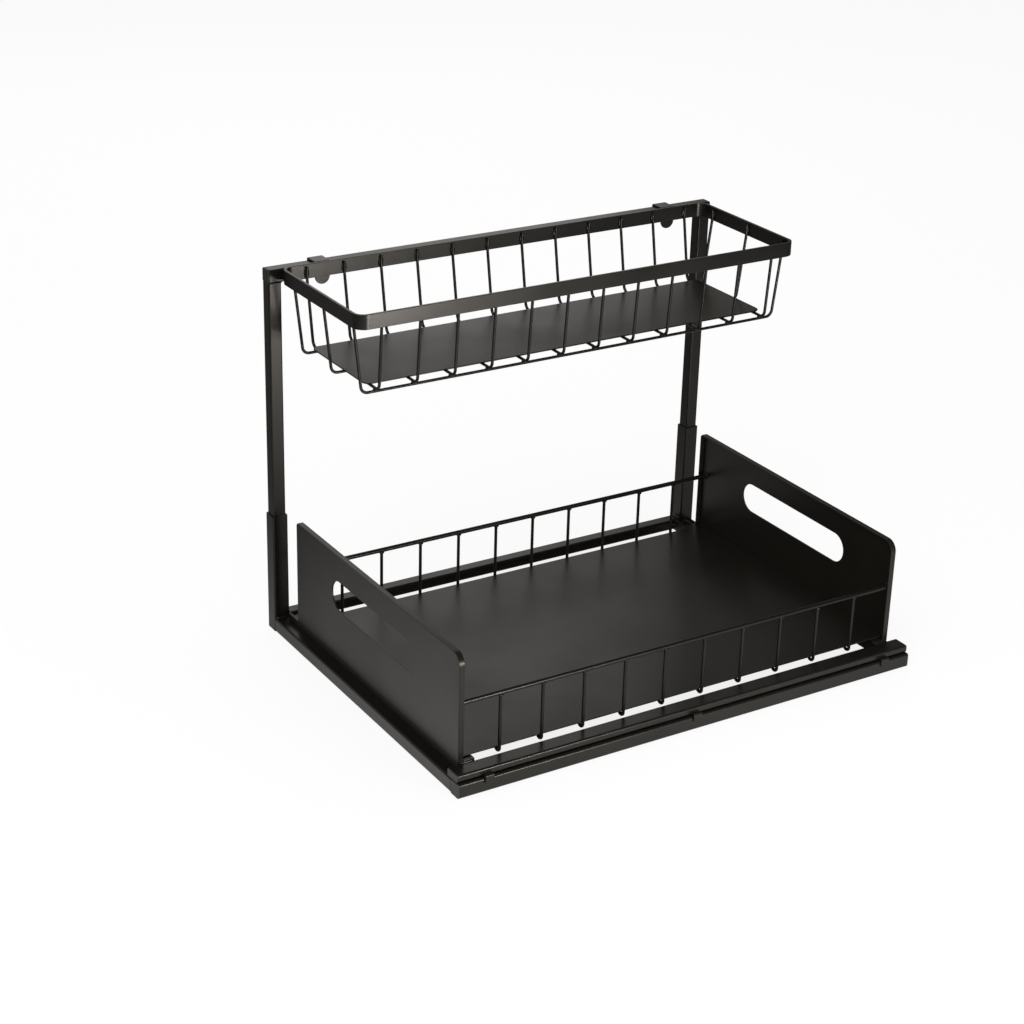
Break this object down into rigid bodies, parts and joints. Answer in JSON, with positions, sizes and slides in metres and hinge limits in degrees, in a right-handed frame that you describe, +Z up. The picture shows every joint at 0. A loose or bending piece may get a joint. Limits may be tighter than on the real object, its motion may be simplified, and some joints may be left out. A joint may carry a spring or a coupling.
{
  "type": "under sink organizer",
  "caption": "Black steel organizer on a tube frame: a pull-out tray with wire guards on ball slides, and a wire basket hung from the top bar by hooks",
  "frame": {"origin": "middle of the footprint, on the surface that the organizer stands on", "axes": "+X to the right seen from the front, +Y to the back, +Z up"},
  "size_m": [0.36, 0.27, 0.267],
  "materials": {
    "powder_coat": "satin",
    "cap_plastic": "matte",
    "slide_steel": "satin",
    "cage_steel": "satin"
  },
  "bodies": {
    "frame": {"base_front_tube": "powder_coat", "base_left_tube": "powder_coat", "base_right_tube": "powder_coat", "base_rear_bar": "powder_coat", "base_end_caps": "cap_plastic", "left_sleeve": "powder_coat", "right_sleeve": "powder_coat", "left_post": "powder_coat", "right_post": "powder_coat", "top_bar": "powder_coat", "top_bar_caps": "cap_plastic", "left_slide_angle": "powder_coat", "right_slide_angle": "powder_coat", "left_slide_outer": "slide_steel", "right_slide_outer": "slide_steel", "slide_rivets": "slide_steel"},
    "tray": {"tray_front_bar": "powder_coat", "front_bar_caps": "cap_plastic", "stop_tabs": "powder_coat", "left_side_panel": "powder_coat", "right_side_panel": "powder_coat", "tray_floor": "powder_coat", "front_guard_rail": "powder_coat", "front_guard_uprights": "powder_coat", "rear_guard_rail": "powder_coat", "rear_guard_uprights": "powder_coat", "left_slide_inner": "slide_steel", "right_slide_inner": "slide_steel"},
    "left_cage": {"left_ball_cage": "cage_steel", "left_balls": "slide_steel"},
    "right_cage": {"right_ball_cage": "cage_steel", "right_balls": "slide_steel"},
    "basket": {"basket_rim": "powder_coat", "basket_plate": "powder_coat", "left_hook": "powder_coat", "right_hook": "powder_coat", "front_long_wire": "powder_coat", "middle_long_wire": "powder_coat", "rear_long_wire": "powder_coat", "cross_wire_1": "powder_coat", "cross_wire_2": "powder_coat", "cross_wire_3": "powder_coat", "cross_wire_4": "powder_coat", "cross_wire_5": "powder_coat", "cross_wire_6": "powder_coat", "cross_wire_7": "powder_coat", "cross_wire_8": "powder_coat", "cross_wire_9": "powder_coat", "cross_wire_10": "powder_coat", "cross_wire_11": "powder_coat", "cross_wire_12": "powder_coat"}
  },
  "joints": [
    {"name": "tray_slide", "type": "slide", "parent": "frame", "child": "tray", "axis": [0, -1, 0], "range_m": [0, 0.15]},
    {"name": "left_cage_slide", "type": "slide", "parent": "frame", "child": "left_cage", "axis": [0, -1, 0], "range_m": [0, 0.075]},
    {"name": "right_cage_slide", "type": "slide", "parent": "frame", "child": "right_cage", "axis": [0, -1, 0], "range_m": [0, 0.075]},
    {"name": "basket_lift", "type": "slide", "parent": "frame", "child": "basket", "axis": [0, 0, 1], "range_m": [0, 0.06]}
  ],
  "couplings": [
    {"joint": "left_cage_slide", "follows": "tray_slide", "ratio": 0.5},
    {"joint": "right_cage_slide", "follows": "tray_slide", "ratio": 0.5}
  ]
}
